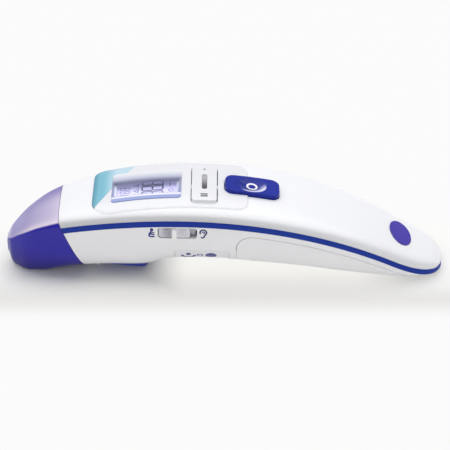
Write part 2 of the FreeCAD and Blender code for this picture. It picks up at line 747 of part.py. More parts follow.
button = form(size("scan_proud")).cut(form(-0.3)).common(scan_slab())
flange = form(-WALL - 0.1).cut(form(-WALL - 0.8)).common(scan_slab(0.9))
neck = form(-0.2).cut(form(-WALL - 0.4)).common(scan_slab(-0.2))
button = button.fuse(neck).fuse(flange)
dish_long, dish_wide = size("dish_length") / 2, size("dish_width") / 2
dish_sink = size("dish_depth")
dish_radius = (dish_wide ** 2 + dish_sink ** 2) / (2 * dish_sink)
ball = Part.makeSphere(dish_radius)
stretch = FreeCAD.Matrix()
stretch.scale(dish_long / dish_wide, 1, 1)
ball = ball.transformGeometry(stretch)
dish = placed(ball, lay(SCAN_X).multiply(at(0, 0, size("scan_proud") - dish_sink + dish_radius)))
button = button.cut(dish)
scan_frame = lay(SCAN_X)
normal = scan_frame.Rotation.multVec(V(0, 0, 1))
stem_top = scan_frame.Base - normal * (WALL + 0.3)
stem_foot = BOARD_TOP + SWITCH_TOP + size("scan_travel") + 0.05
stem_x = SCAN_X - 0.6
stem = rod(size("stem_radius"), V(stem_x, 0, stem_foot), V(stem_x, 0, stem_top.z))
button = button.fuse(stem)
piece("scan_button", button)

# ---------------------------------------------------------------- mode slider
knob_back = SLOT_X - slot_half + 0.3
knob_front = knob_back + size("slider_length")
knob_low, knob_high = slot_low + 0.25, slot_high - 0.25
knob = skin(-0.25, -WALL + 0.1).common(side_slab(knob_back, knob_front, knob_low, knob_high, 1.0))
ridge_x = knob_back + size("slider_length") / 2
ridge = skin(1.2, -0.6).common(side_slab(ridge_x - 0.8, ridge_x + 0.8, knob_low - 0.0, knob_high, 0.6))
fine = skin(0.25, -0.6)
for step in (-3.6, -2.4, 2.4, 3.6):
    rib = side_slab(ridge_x + step - 0.3, ridge_x + step + 0.3, knob_low + 0.5, knob_high - 0.5, 0)
    knob = knob.fuse(fine.common(rib))
wall_y = width_at(SLOT_X) - WALL
case_y = -(wall_y - 1.2)
fork = Part.makeBox(2.0, 2.6, 2.0, V(ridge_x - 1.0, case_y - 1.6, size("slot_above") - 1.0))
fork = fork.common(form(-0.8))
piece("mode_slider", knob.fuse(ridge).fuse(fork))
case_depth = size("slide_case_depth")
case_height = size("slide_case_height")
case = Part.makeBox(size("slot_length") - 1.0, case_depth, case_height + 1.0,
                    V(SLOT_X - slot_half + 0.5, case_y, size("slot_above") - case_height / 2 - 1.0))
slot_cut = Part.makeBox(2.0 + size("slider_travel") + 0.2, 1.6, 2.2,
                        V(ridge_x - 1.1, case_y - 0.1, size("slot_above") - 1.1))
case = case.cut(slot_cut).common(form(-WALL - 0.05))
piece("slide_switch", case)

# ---------------------------------------------------------------- main board and its parts
board = new_body("main_board", at(PEAK_X, 0, BOARD_LOW))
outline = new_sketch(board, "BoardOutline")
draw_rectangle(outline, "Sizes.board_length", "Sizes.board_width")
pad(board, outline, "BoardPad", "Sizes.board_thick")
holes = new_sketch(board, "BoardHoles")
for foot in POSTS:
    draw_circle(holes, "Sizes.screw_radius + 0.1", foot.x - PEAK_X, foot.y)
drill = pocket(board, holes, "BoardDrill", "Sizes.board_thick * 3")
drill.Midplane = True


def tact_switch(label, placement):
    """A small push switch: a square case with a round plunger."""
    body = new_body(label, placement)
    base = new_sketch(body, label + "_case")
    draw_rectangle(base, "Sizes.switch_side", "Sizes.switch_side")
    pad(body, base, label + "_pad", "Sizes.switch_height")
    stem_sketch = new_sketch(body, label + "_plunger")
    draw_circle(stem_sketch, "Sizes.plunger_radius")
    pad(body, stem_sketch, label + "_rise", "Sizes.switch_height + Sizes.plunger_height")


tact_switch("scan_switch", at(stem_x, 0, BOARD_TOP + 0.02))
tact_switch("near_key_switch", at(KEY_X, -KEY_SWITCH_Y, BOARD_TOP + 0.02))
tact_switch("far_key_switch", at(KEY_X, KEY_SWITCH_Y, BOARD_TOP + 0.02))
tact_switch("trigger_switch", FreeCAD.Placement(V(bridge_x, 0, bridge_low - 0.02), FreeCAD.Rotation(V(1, 0, 0), 180)))

chip = new_body("processor", at(PEAK_X - 10, 3, BOARD_LOW - size("chip_height") - 0.02))
chip_sketch = new_sketch(chip, "ChipOutline")
draw_rectangle(chip_sketch, "Sizes.chip_side", "Sizes.chip_side")
pad(chip, chip_sketch, "ChipPad", "Sizes.chip_height")

buzzer = new_body("buzzer", at(BUZZER_X, 0, BOARD_LOW - size("buzzer_height") - 0.02))
buzzer_sketch = new_sketch(buzzer, "BuzzerOutline")
draw_circle(buzzer_sketch, "Sizes.buzzer_radius")
pad(buzzer, buzzer_sketch, "BuzzerPad", "Sizes.buzzer_height")
port = new_sketch(buzzer, "BuzzerPort")
draw_circle(port, "Sizes.buzzer_radius / 5")
pocket(buzzer, port, "BuzzerHole", "Sizes.buzzer_height * 0.6").Reversed = True

screws = []
for foot in POSTS:
    under = V(foot.x, foot.y, BOARD_LOW - 0.02)
    shank = rod(size("screw_radius"), under, under + V(0, 0, size("screw_length")))
    head = rod(size("screw_head_radius"), under - V(0, 0, size("screw_head_height")), under)
    bit = Part.makeBox(2.4, 0.5, 1.2, V(under.x - 1.2, under.y - 0.25, under.z - size("screw_head_height") - 0.6))
    cross = Part.makeBox(0.5, 2.4, 1.2, V(under.x - 0.25, under.y - 1.2, under.z - size("screw_head_height") - 0.6))
    screws.append(shank.fuse(head).cut(bit).cut(cross))
piece("board_screws", Part.makeCompound(screws))

tail_of_sensor = probe_frame.multVec(V(0, 0, -3.15))
path = [(tail_of_sensor.x, tail_of_sensor.z), (tail_of_sensor.x + 3.5, tail_of_sensor.z + 1.5),
        (POST_X[0] - 4.2, BOARD_LOW - 3.0), (POST_X[0] + 2.0, BOARD_LOW - 0.02)]
under_path = [(x + 0.45, z - 0.3) for x, z in path[::-1]]
piece("sensor_ribbon", across(path + under_path, -2.5, 2.5))

# ---------------------------------------------------------------- underside trigger
lean = FreeCAD.Placement(V(0, 0, 0), FreeCAD.Rotation(V(0, 1, 0), size("pad_lean")), V(pin_x, 0, pin_z))
trigger = skin(0, -size("pad_thick")).common(pad_tool())
trigger = placed(trigger, lean)
eye_half = size("pad_width") / 2 - 3.2
eye = rod(1.6, V(pin_x, -eye_half, pin_z), V(pin_x, eye_half, pin_z))
trigger = trigger.fuse(eye)
trigger = trigger.fuse(rod(1.3, V(bridge_x, 0, pad_inside - 1.0), V(bridge_x, 0, boss_top)))
trigger = trigger.cut(rod(size("pin_radius") + 0.04, V(pin_x, -20, pin_z), V(pin_x, 20, pin_z)))
trigger = trigger.common(across([(-BIG, 0.2), (BIG, 0.2), (BIG, BIG), (-BIG, BIG)]))
trigger = trigger.common(behind_rim(-size("plug_thick") - 0.25))
piece("finger_trigger", trigger)
piece("trigger_pin", rod(size("pin_radius"), V(pin_x, -PIN_HALF, pin_z), V(pin_x, PIN_HALF, pin_z)))

# ---------------------------------------------------------------- batteries
cell_frame = at(CELL_X, 0, keel_height(CELL_X) + size("cell_rise"), size("cell_tilt"))
cell_half = size("cell_length") / 2
end_half = cell_half + size("nub_length") + size("contact_room")
for name, side in (("near_cell", -1), ("far_cell", 1)):
    lie = FreeCAD.Placement(V(-side * cell_half, side * size("cell_pitch") / 2, 0), FreeCAD.Rotation(V(0, 1, 0), side * 90))
    cell = new_body(name, cell_frame.multiply(lie))
    can = new_sketch(cell, name + "_can")
    draw_circle(can, "Sizes.cell_radius")
    pad(cell, can, name + "_pad", "Sizes.cell_length")
    nub = new_sketch(cell, name + "_nub")
    draw_circle(nub, "Sizes.nub_radius")
    pad(cell, nub, name + "_rise", "Sizes.cell_length + Sizes.nub_length")

tray_wide = size("cell_pitch") / 2 + size("cell_radius") + 0.3
wall = size("tray_wall")
tray = Part.makeBox(2 * (end_half + wall), 2 * (tray_wide + wall), size("cell_radius") + 0.3 + wall + 3.0,
                    V(-end_half - wall, -tray_wide - wall, -3.0))
tray = tray.cut(Part.makeBox(2 * end_half, 2 * tray_wide, size("cell_radius") + 0.3 + 3.0,
                             V(-end_half, -tray_wide, -3.0)))
saddle = Part.makeBox(2 * cell_half - 8, 1.0, 3.0, V(-cell_half + 4, -0.5, size("cell_radius") - 2.4))
cells_round = [Part.makeCylinder(size("cell_radius") + 0.05, 60, V(-30, side * size("cell_pitch") / 2, 0), V(1, 0, 0))
               for side in (-1, 1)]
saddle = saddle.cut(cells_round[0]).cut(cells_round[1])
tray = placed(tray.fuse(saddle), cell_frame).common(form(-WALL - 0.15))
buzzer_low = BOARD_LOW - size("buzzer_height") - 0.3
tray = tray.cut(Part.makeCylinder(size("buzzer_radius") + 0.3, 20, V(BUZZER_X, 0, buzzer_low)))
piece("battery_tray", tray)


def coil(x, y, direction):
    """A contact spring as a thin sleeve whose ridges stand for the coil's turns."""
    free = size("contact_room") - size("contact_thick") + size("nub_length") - 0.75
    wire = size("spring_wire")
    turns = 4
    outside = []
    for k in range(2 * turns + 1):
        outside.append((3.4 + (wire / 2 if k % 2 else -wire / 4), free * k / (2 * turns)))
    inside = [(r - wire, d) for r, d in outside[::-1]]
    points = [V(r, 0, d) for r, d in outside + inside]
    sleeve = Part.Face(Part.makePolygon(points + points[:1])).revolve(V(0, 0, 0), V(0, 0, 1), 360)
    turn = FreeCAD.Rotation(V(0, 1, 0), 90 * direction)
    return placed(sleeve, cell_frame.multiply(FreeCAD.Placement(V(x, y, 0), turn)))


def contact_plate(x, y, half_wide):
    """A flat contact against the tray's end wall."""
    thick = size("contact_thick")
    flat = Part.makeBox(thick, 2 * half_wide, 7.0, V(x - thick / 2, y - half_wide, -3.0))
    return placed(flat, cell_frame)


end_x = end_half - size("contact_thick") / 2 - 0.02
pitch = size("cell_pitch") / 2
button_reach = size("contact_room") - size("contact_thick") - 0.08


def contact_button(x, y, direction):
    """The raised round of a contact that meets a cell's nub."""
    start = V(x, y, 0)
    return placed(rod(2.4, start, start + V(direction * button_reach, 0, 0)), cell_frame)


bridge_plate = contact_plate(-end_x, 0, pitch + 3.6)
piece("bridge_contact", bridge_plate.fuse(contact_button(-end_x, -pitch, 1)))
piece("near_contact", contact_plate(end_x, -pitch, 3.6))
piece("far_contact", contact_plate(end_x, pitch, 3.6).fuse(contact_button(end_x, pitch, -1)))
spring_x = end_half - size("contact_thick") - 0.25
piece("front_spring", coil(-spring_x, pitch, 1))
piece("rear_spring", coil(spring_x, -pitch, -1))

door = skin(0, -WALL).common(door_tool())
piece("battery_door", door)

# ---------------------------------------------------------------- inlays
piece("tail_badge", skin(size("badge_proud"), -0.65).common(badge_tool).common(Part.makeBox(BIG, BIG, BIG, V(0, -BIG / 2, 5.5))))
label_tool = side_slab(LABEL_X - label_half, LABEL_X + label_half, label_low, label_high, 1.4, -BIG, -4.0)
piece("label_plate", skin(-0.15, -0.45).common(label_tool))

# ---------------------------------------------------------------- checks and export
doc.recompute()
os.makedirs("parts", exist_ok=True)
for item in doc.Objects:
    if "Invalid" in item.State or "Error" in item.State:
        raise RuntimeError(f"{item.Label}: {item.State}")
for item in pieces:
    if item.Shape.isNull() or not item.Shape.isValid():
        raise RuntimeError(f"{item.Label}: bad shape")
    item.Shape.exportStep(f"parts/{item.Label}.step")
    box = item.Shape.BoundBox
    print(f"{item.Label:20s} {len(item.Shape.Solids)} {item.Shape.Volume:9.1f}  "
          f"{box.XMin:7.2f} {box.XMax:7.2f}  {box.YMin:7.2f} {box.YMax:7.2f}  {box.ZMin:7.2f} {box.ZMax:7.2f}")
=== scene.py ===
import bpy
import bmesh
import math
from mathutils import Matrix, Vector
from mathutils.bvhtree import BVHTree


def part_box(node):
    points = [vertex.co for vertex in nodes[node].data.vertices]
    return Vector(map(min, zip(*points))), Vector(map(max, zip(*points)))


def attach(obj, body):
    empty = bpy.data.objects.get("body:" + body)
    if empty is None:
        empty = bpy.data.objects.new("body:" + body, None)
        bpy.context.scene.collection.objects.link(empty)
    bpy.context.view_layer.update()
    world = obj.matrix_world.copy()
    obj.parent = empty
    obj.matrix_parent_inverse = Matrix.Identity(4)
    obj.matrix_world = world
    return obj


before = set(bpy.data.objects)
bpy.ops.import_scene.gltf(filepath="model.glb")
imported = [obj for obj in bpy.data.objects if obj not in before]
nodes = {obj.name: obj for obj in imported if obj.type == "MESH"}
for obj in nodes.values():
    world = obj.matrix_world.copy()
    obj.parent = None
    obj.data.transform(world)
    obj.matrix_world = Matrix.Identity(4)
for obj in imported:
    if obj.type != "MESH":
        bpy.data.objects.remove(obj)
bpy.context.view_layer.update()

MM = 0.001
X, Y, Z = Vector((1, 0, 0)), Vector((0, 1, 0)), Vector((0, 0, 1))
NOISE = (0.3, 0.7)    # the range that most of a noise pattern lies in
BEVEL_SAMPLES = 4


# ---------------------------------------------------------------- helpers
def mid(name):
    """The middle of a CAD node's box."""
    low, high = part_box(name)
    return (low + high) / 2


def linear(r, g, b):
    """A display colour, 0 to 255, as the linear colour that a shader takes."""
    out = []
    for c in (r, g, b):
        c = c / 255
        out.append(c / 12.92 if c <= 0.04045 else ((c + 0.055) / 1.055) ** 2.4)
    return (*out, 1.0)


def scaled(colour, factor):
    """A linear colour made darker or lighter."""
    return tuple(min(1, c * factor) for c in colour[:3]) + (1,)


def toward(colour, level, share):
    """A linear colour moved by a share of the way to a grey level."""
    return tuple(min(1, c + (level - c) * share) for c in colour[:3]) + (1,)


class Shader:
    """A material built node by node."""

    def __init__(self, name):
        self.material = bpy.data.materials.new(name)
        self.material.use_nodes = True
        self.tree = self.material.node_tree
        self.tree.nodes.clear()
        self.out = self.add("ShaderNodeOutputMaterial")
        self.place = self.add("ShaderNodeTexCoord").outputs["Object"]

    def add(self, kind, **values):
        node = self.tree.nodes.new(kind)
        for key, value in values.items():
            setattr(node, key, value)
        return node

    def link(self, a, b):
        self.tree.links.new(a, b)

    def surface(self, **values):
        """A Principled shader with the named sockets set, such as Coat_Weight."""
        node = self.add("ShaderNodeBsdfPrincipled")
        for key, value in values.items():
            node.inputs[key.replace("_", " ")].default_value = value
        return node

    def noise(self, scale, detail=3.0, rough=0.5, stretch=None):
        place = self.place
        if stretch:
            mapping = self.add("ShaderNodeMapping")
            mapping.inputs["Scale"].default_value = stretch
            self.link(place, mapping.inputs["Vector"])
            place = mapping.outputs["Vector"]
        node = self.add("ShaderNodeTexNoise")
        node.inputs["Scale"].default_value = scale
        node.inputs["Detail"].default_value = detail
        node.inputs["Roughness"].default_value = rough
        self.link(place, node.inputs["Vector"])
        return node.outputs["Fac"]

    def remap(self, value, a, b, c, d, smooth=False):
        """A value that goes from c to d while another goes from a to b."""
        node = self.add("ShaderNodeMapRange")
        if smooth:
            node.interpolation_type = "SMOOTHSTEP"
        for i, v in enumerate((a, b, c, d), start=1):
            node.inputs[i].default_value = v
        self.link(value, node.inputs[0])
        return node.outputs[0]

    def math(self, kind, a, b=None):
        node = self.add("ShaderNodeMath", operation=kind)
        for i, v in enumerate((a, b)):
            if v is None:
                continue
            if isinstance(v, (int, float)):
                node.inputs[i].default_value = v
            else:
                self.link(v, node.inputs[i])
        return node.outputs[0]

    def times(self, a, b):
        return self.math("MULTIPLY", a, b)

    def largest(self, first, *others):
        for other in others:
            first = self.math("MAXIMUM", first, other)
        return first

    def mix(self, factor, a, b):
        node = self.add("ShaderNodeMix", data_type="RGBA")
        for socket, v in ((node.inputs[0], factor), (node.inputs[6], a), (node.inputs[7], b)):
            if isinstance(v, (int, float, tuple)):
                socket.default_value = v
            else:
                self.link(v, socket)
        return node.outputs[2]

    def fade(self, value, start, end, before, after, most=1.0, smooth=True):
        """A colour that turns into another while a value goes from start to end."""
        return self.mix(self.remap(value, start, end, 0.0, most, smooth), before, after)

    def blend(self, factor, a, b):
        """Two shaders mixed by a factor."""
        node = self.add("ShaderNodeMixShader")
        for socket, v in zip(node.inputs, (factor, a, b)):
            self.link(v, socket)
        return node.outputs[0]

    def component(self, vector, letter):
        """A vector's X, Y or Z."""
        node = self.add("ShaderNodeSeparateXYZ")
        self.link(vector, node.inputs[0])
        return node.outputs[letter]

    def axis(self, letter):
        """A point's X, Y or Z, in metres."""
        return self.component(self.place, letter)

    def along(self, name, letter):
        """How far a point lies along a CAD node's box, from 0 to 1."""
        low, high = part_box(name)
        k = "XYZ".index(letter)
        return self.remap(self.axis(letter), low[k], high[k], 0.0, 1.0)

    def softened(self, radius):
        """The surface's normal with its edges rounded over a radius in mm."""
        node = self.add("ShaderNodeBevel", samples=BEVEL_SAMPLES)
        node.inputs["Radius"].default_value = radius * MM
        return node.outputs[0]

    def bump(self, height, strength, depth, normal=None):
        """A normal with a fine relief on it, its depth in mm."""
        node = self.add("ShaderNodeBump")
        node.inputs["Strength"].default_value = strength
        node.inputs["Distance"].default_value = depth * MM
        self.link(height, node.inputs["Height"])
        if normal is not None:
            self.link(normal, node.inputs["Normal"])
        return node.outputs[0]

    def uneven(self, pattern, low, high):
        """A roughness that follows a noise pattern."""
        return self.remap(pattern, *NOISE, low, high)

    def finish(self, surface):
        self.link(surface, self.out.inputs["Surface"])
        return self.material


PLASTIC_IOR = 1.5
COAT_ROUGH = 0.06
RUBBED = (0.9, 0.999)                   # how well the softened and true normals agree: worn, whole
RUB_PALER, RUB_ROUGHER = 0.7, 0.12
# painted shade on the sides that lean outwards: where it falls, how it fades, how dark it is
FLANK_LEAN = (0.12, 0.78)               # the sideways part of a normal: no shade, full shade
FLANK_FADE = (-0.01, 0.05, 1.0, 0.3)    # the shade's share, from one X to another
FLANK_DARK = 0.5                        # full shade, as a part of the body's colour
UPRIGHT = (0.35, 0.7)                   # the upward part of a normal: full glow, no glow
GRAIN_SCALE = 4500


def moulded(name, colour, rough=0.32, coat=0.0, grain=0.02, tint=0.03, edge=0.12,
            bevel=0.12, subsurface=0.0, shine=0.5, flank_painted_shade=0.0, glow=0.0):
    """Injection-moulded plastic: faint flow marks, fine grain, softened and rubbed edges.

    The flank setting darkens the sides that lean outwards with painted shade, less towards
    the tail. The glow setting is painted light: upright walls glow, which lifts the dark gap
    lines beside them.
    """
    s = Shader(name)
    bsdf = s.surface(IOR=PLASTIC_IOR, Coat_Weight=coat, Coat_Roughness=COAT_ROUGH,
                     Specular_IOR_Level=shine)
    if subsurface:
        bsdf.inputs["Subsurface Weight"].default_value = subsurface
        bsdf.inputs["Subsurface Radius"].default_value = (0.6, 0.5, 0.5)
        bsdf.inputs["Subsurface Scale"].default_value = 2 * MM
    soft = s.softened(bevel)
    normal = s.add("ShaderNodeNewGeometry").outputs["Normal"]
    dot = s.add("ShaderNodeVectorMath", operation="DOT_PRODUCT")
    s.link(soft, dot.inputs[0])
    s.link(normal, dot.inputs[1])
    rubbed = s.remap(dot.outputs["Value"], *RUBBED, 1.0, 0.0)
    flow = s.noise(38, 4, 0.55, (1.0, 0.4, 0.6))
    body = s.fade(flow, *NOISE, scaled(colour, 1 - tint), scaled(colour, 1 + tint), smooth=False)
    body = s.mix(s.times(rubbed, RUB_PALER), body, toward(colour, 1, edge))
    # painted shade: the sides that lean outwards are darkened in colour, less towards the tail
    if flank_painted_shade:
        lean = s.math("ABSOLUTE", s.component(normal, "Y"))
        shade = s.remap(lean, *FLANK_LEAN, 0.0, flank_painted_shade, True)
        shade = s.times(shade, s.remap(s.axis("X"), *FLANK_FADE))
        body = s.mix(shade, body, scaled(colour, FLANK_DARK))
    # painted light: upright walls glow in the body's colour, lifting the gap lines beside them
    if glow:
        lift = s.remap(s.component(normal, "Z"), *UPRIGHT, glow, 0.0)
        s.link(body, bsdf.inputs["Emission Color"])
        s.link(lift, bsdf.inputs["Emission Strength"])
    s.link(body, bsdf.inputs["Base Color"])
    wear = s.uneven(flow, rough * 0.9, rough * 1.1)
    wear = s.math("ADD", wear, s.times(rubbed, RUB_ROUGHER))
    speck = s.uneven(s.noise(900, 2, 0.6), -0.02, 0.03)
    s.link(s.math("ADD", wear, speck), bsdf.inputs["Roughness"])
    s.link(s.bump(s.noise(GRAIN_SCALE, 2, 0.6), grain, 0.06, soft), bsdf.inputs["Normal"])
    return s.finish(bsdf.outputs[0])


def metal(name, colour, rough, stretch=(1, 1, 1)):
    """Bare or plated metal with fine brushed lines."""
    s = Shader(name)
    bsdf = s.surface(Metallic=1.0)
    lines = s.noise(1500, 3, 0.6, stretch)
    s.link(s.mix(lines, scaled(colour, 0.82), colour), bsdf.inputs["Base Color"])
    s.link(s.uneven(lines, rough * 0.8, rough * 1.25), bsdf.inputs["Roughness"])
    s.link(s.bump(lines, 0.08, 0.03), bsdf.inputs["Normal"])
    return s.finish(bsdf.outputs[0])


def ink(name, colour, rough=0.35):
    """Pad-printed ink with a slightly uneven film."""
    s = Shader(name)
    bsdf = s.surface()
    film = s.noise(2600, 3, 0.6)
    body = s.fade(film, 0.55, 0.8, colour, toward(colour, 0.85, 0.06), smooth=False)
    s.link(body, bsdf.inputs["Base Color"])
    s.link(s.uneven(film, rough * 0.85, rough * 1.15), bsdf.inputs["Roughness"])
    return s.finish(bsdf.outputs[0])


# ---------------------------------------------------------------- colours and finishes
# the upper shell carries painted shade on its steep sides
shell_white = moulded("shell_white", linear(243, 243, 246), rough=0.30, coat=0.15, tint=0.008,
                      subsurface=0.05, flank_painted_shade=0.56)
shell_grey = moulded("shell_grey", linear(247, 246, 248), rough=0.36, coat=0.08, tint=0.01,
                     grain=0.05, subsurface=0.05)
# the fascia's and key's upright walls glow as painted light
fascia_white = moulded("fascia_white", linear(232, 232, 236), rough=0.2, coat=0.3, tint=0.006,
                       glow=0.4)
key_white = moulded("key_white", linear(230, 230, 234), rough=0.22, coat=0.25, tint=0.008,
                    glow=0.1)
band_blue = moulded("band_blue", linear(30, 58, 156), rough=0.4, tint=0.03, edge=0.0, bevel=0.05,
                    shine=0.12)
trigger_blue = moulded("trigger_blue", linear(32, 58, 160), rough=0.3, coat=0.2, tint=0.05,
                       edge=0.06)
badge_blue = moulded("badge_blue", linear(58, 42, 166), rough=0.2, coat=0.2, tint=0.06,
                     shine=0.2)
probe_white = moulded("probe_white", linear(226, 228, 233), rough=0.3, coat=0.2, tint=0.01)
black_plastic = moulded("black_plastic", linear(34, 35, 38), rough=0.45, grain=0.12, tint=0.08)
switch_grey = moulded("switch_grey", linear(236, 236, 244), rough=0.45, grain=0.1, tint=0.03)
holder_white = moulded("holder_white", linear(230, 230, 228), rough=0.45, tint=0.02)
board_green = moulded("board_green", linear(24, 92, 56), rough=0.32, coat=0.4, tint=0.12, edge=0.05)
amber_film = moulded("amber_film", linear(176, 104, 32), rough=0.22, coat=0.5, tint=0.08)
pink_rubber = moulded("pink_rubber", linear(205, 150, 160), rough=0.6, tint=0.05)
label_film = moulded("label_film", linear(240, 240, 245), rough=0.34, tint=0.01)
steel = metal("steel", linear(186, 188, 192), 0.28)
nickel = metal("nickel", linear(196, 194, 188), 0.22)
gold = metal("gold", linear(226, 178, 92), 0.18)
aluminium = metal("aluminium", linear(205, 207, 212), 0.3, (1, 8, 1))
navy_ink = ink("navy_ink", linear(24, 30, 132))
grey_ink = ink("grey_ink", linear(120, 124, 136))
dark_ink = ink("dark_ink", linear(48, 50, 62))
white_ink = ink("white_ink", linear(244, 246, 252), 0.25)
lcd_ink = ink("lcd_ink", linear(108, 110, 136), 0.3)


def cap_finish():
    """Deep blue gloss, a little redder, and darker towards the chin as painted shade, with a
    painted reflection of the overhead light as a pale lavender sheen.

    The painted reflection lies on the upward faces. It is palest along the near shoulder, and
    bluer on top, at the nose and on the far side.
    """
    s = Shader("cap_blue")
    bsdf = s.surface(Coat_Roughness=0.12, Coat_IOR=1.8, Specular_IOR_Level=0.15)
    flow = s.noise(30, 4, 0.5, (0.5, 1.0, 1.6))
    # painted shade: the blue is darker towards the chin
    body = s.fade(s.axis("Z"), 0.0, 0.014, linear(31, 12, 122), linear(33, 21, 164))
    body = s.fade(flow, 0.35, 0.75, body, linear(52, 44, 172), most=0.2, smooth=False)
    soft = s.softened(0.3)
    # painted reflection: a pale sheen on the upward faces, bluer at the nose and the far side
    nose_lift = s.remap(s.axis("X"), -0.078, -0.058, -0.24, 0.17)
    tilt = s.math("SUBTRACT", s.component(soft, "Z"), nose_lift)
    sheen_mask = s.remap(tilt, 0.50, 0.68, 0.0, 1.0, True)
    sheen = s.fade(tilt, 0.66, 1.02, linear(246, 232, 246), linear(128, 120, 184))
    far = s.remap(s.axis("Y"), -0.001, 0.012, 0.0, 0.85, True)
    sheen = s.mix(far, sheen, linear(92, 84, 166))
    at_nose = s.remap(s.axis("X"), -0.078, -0.068, 0.6, 0.0, True)
    sheen = s.mix(at_nose, sheen, linear(96, 92, 184))
    s.link(s.mix(s.times(sheen_mask, 0.92), body, sheen), bsdf.inputs["Base Color"])
    coat = s.math("SUBTRACT", s.remap(sheen_mask, 0.0, 1.0, 0.22, 0.34), s.times(far, 0.3))
    s.link(coat, bsdf.inputs["Coat Weight"])
    s.link(s.uneven(s.noise(700, 3, 0.6), 0.20, 0.27), bsdf.inputs["Roughness"])
    s.link(s.bump(s.noise(3000, 2, 0.6), 0.03, 0.05, soft), bsdf.inputs["Normal"])
    return s.finish(bsdf.outputs[0])


def corner_finish():
    """The fascia's corner inlay: cyan, deepest towards the nose and palest towards the tail. Its
    dark band at the nose end is painted shade of the raised edge.
    """
    s = Shader("corner_cyan")
    bsdf = s.surface(Coat_Weight=0.5, Coat_Roughness=COAT_ROUGH)
    along = s.along("fascia_corner", "X")
    # painted shade: darker over the first part at the nose end, along the raised edge
    body = s.fade(along, 0.0, 0.16, linear(74, 150, 176), linear(116, 186, 208))
    body = s.fade(along, 0.2, 0.62, body, linear(200, 226, 240))
    cloud = s.noise(60, 3, 0.5)
    body = s.fade(cloud, *NOISE, body, linear(104, 180, 206), most=0.12, smooth=False)
    s.link(body, bsdf.inputs["Base Color"])
    s.link(s.uneven(s.noise(900, 2, 0.6), 0.18, 0.24), bsdf.inputs["Roughness"])
    return s.finish(bsdf.outputs[0])


def lens_finish():
    """Clear acrylic. It lets light through to the display and carries a soft surround: print at its
    ends and near side, painted shade of the window's far wall along the far side, and a painted
    highlight near the near edge.
    """
    s = Shader("lens_clear")
    glass = s.surface(Transmission_Weight=1.0, IOR=1.15, Base_Color=linear(246, 247, 255))
    s.link(s.uneven(s.noise(1200, 2, 0.6), 0.01, 0.03), glass.inputs["Roughness"])
    surround_print_and_shade = s.surface()    # the surround: print, with painted shade and a painted highlight
    low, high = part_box("display_lens")
    across = s.along("display_lens", "Y")
    tone = s.fade(across, 0.10, 0.5, linear(150, 164, 216), linear(168, 172, 202), smooth=False)
    # painted shade: grey along the far side, where the window's far wall is in shade
    tone = s.fade(across, 0.66, 0.98, tone, linear(232, 233, 238))
    # painted highlight: a pale stripe near the near edge
    stripe_start = s.remap(across, 0.09, 0.11, 0.0, 1.0)
    stripe_end = s.remap(across, 0.15, 0.17, 1.0, 0.0)
    highlight_stripe = s.times(stripe_start, stripe_end)
    s.link(s.mix(highlight_stripe, tone, linear(238, 236, 250)), surround_print_and_shade.inputs["Base Color"])
    s.link(s.uneven(s.noise(700, 2, 0.6), 0.18, 0.24), surround_print_and_shade.inputs["Roughness"])
    left = s.remap(s.axis("X"), low.x + 0.3 * MM, low.x + 1.0 * MM, 0.7, 0.0)
    right = s.remap(s.axis("X"), high.x - 1.4 * MM, high.x - 0.3 * MM, 0.0, 0.8)
    near = s.remap(across, 0.15, 0.19, 1.0, 0.0)
    far = s.remap(across, 0.56, 0.78, 0.0, 1.0, True)
    clear = s.add("ShaderNodeBsdfTransparent")
    clear.inputs["Color"].default_value = (0.94, 0.94, 0.98, 1)
    in_shadow = s.add("ShaderNodeLightPath").outputs["Is Shadow Ray"]
    window = s.blend(in_shadow, glass.outputs[0], clear.outputs[0])
    return s.finish(s.blend(s.largest(left, right, near, far), window, surround_print_and_shade.outputs[0]))


def display_finish():
    """The lit display: lavender, bluer along its lower edge and greyer at its upper edge, where the
    grey is painted shade from the window's far wall.
    """
    s = Shader("display_lit")
    bsdf = s.surface(Emission_Strength=0.28)
    across = s.along("lcd_glass", "Y")
    body = s.fade(across, 0.0, 0.16, linear(176, 184, 236), linear(224, 220, 246))
    # painted shade: greyer towards the far edge, below the window's far wall
    body = s.fade(across, 0.5, 0.9, body, linear(178, 180, 208))
    body = s.fade(s.along("lcd_glass", "X"), 0.7, 1.0, body, linear(190, 186, 236), most=0.25)
    cells = s.noise(2400, 1, 0.4)
    body = s.fade(cells, 0.4, 0.6, body, linear(130, 130, 190), most=0.05, smooth=False)
    s.link(body, bsdf.inputs["Base Color"])
    s.link(body, bsdf.inputs["Emission Color"])
    s.link(s.uneven(cells, 0.22, 0.3), bsdf.inputs["Roughness"])
    return s.finish(bsdf.outputs[0])


def slider_finish():
    """The slider's knob: painted shade on its sloping face ahead of the ridge, a painted highlight
    on the ridge, and pale behind it.
    """
    s = Shader("slider_grey")
    bsdf = s.surface(Coat_Weight=0.2)
    along = s.along("mode_slider", "X")
    # painted shade: grey on the sloping face ahead of the ridge
    body = s.fade(along, 0.0, 0.38, linear(214, 213, 222), linear(178, 177, 188))
    # painted highlight: bright on the ridge
    body = s.fade(along, 0.40, 0.44, body, linear(250, 250, 250))
    body = s.fade(along, 0.57, 0.62, body, linear(224, 224, 230))
    s.link(body, bsdf.inputs["Base Color"])
    s.link(s.uneven(s.noise(1500, 2, 0.6), 0.24, 0.34), bsdf.inputs["Roughness"])
    return s.finish(bsdf.outputs[0])


DISH_LONG, DISH_WIDE = 5.7 * MM, 4.6 * MM    # from the dish's middle to its rim
REACH = 4.0    # distances are measured out to this many dishes, past the whole button


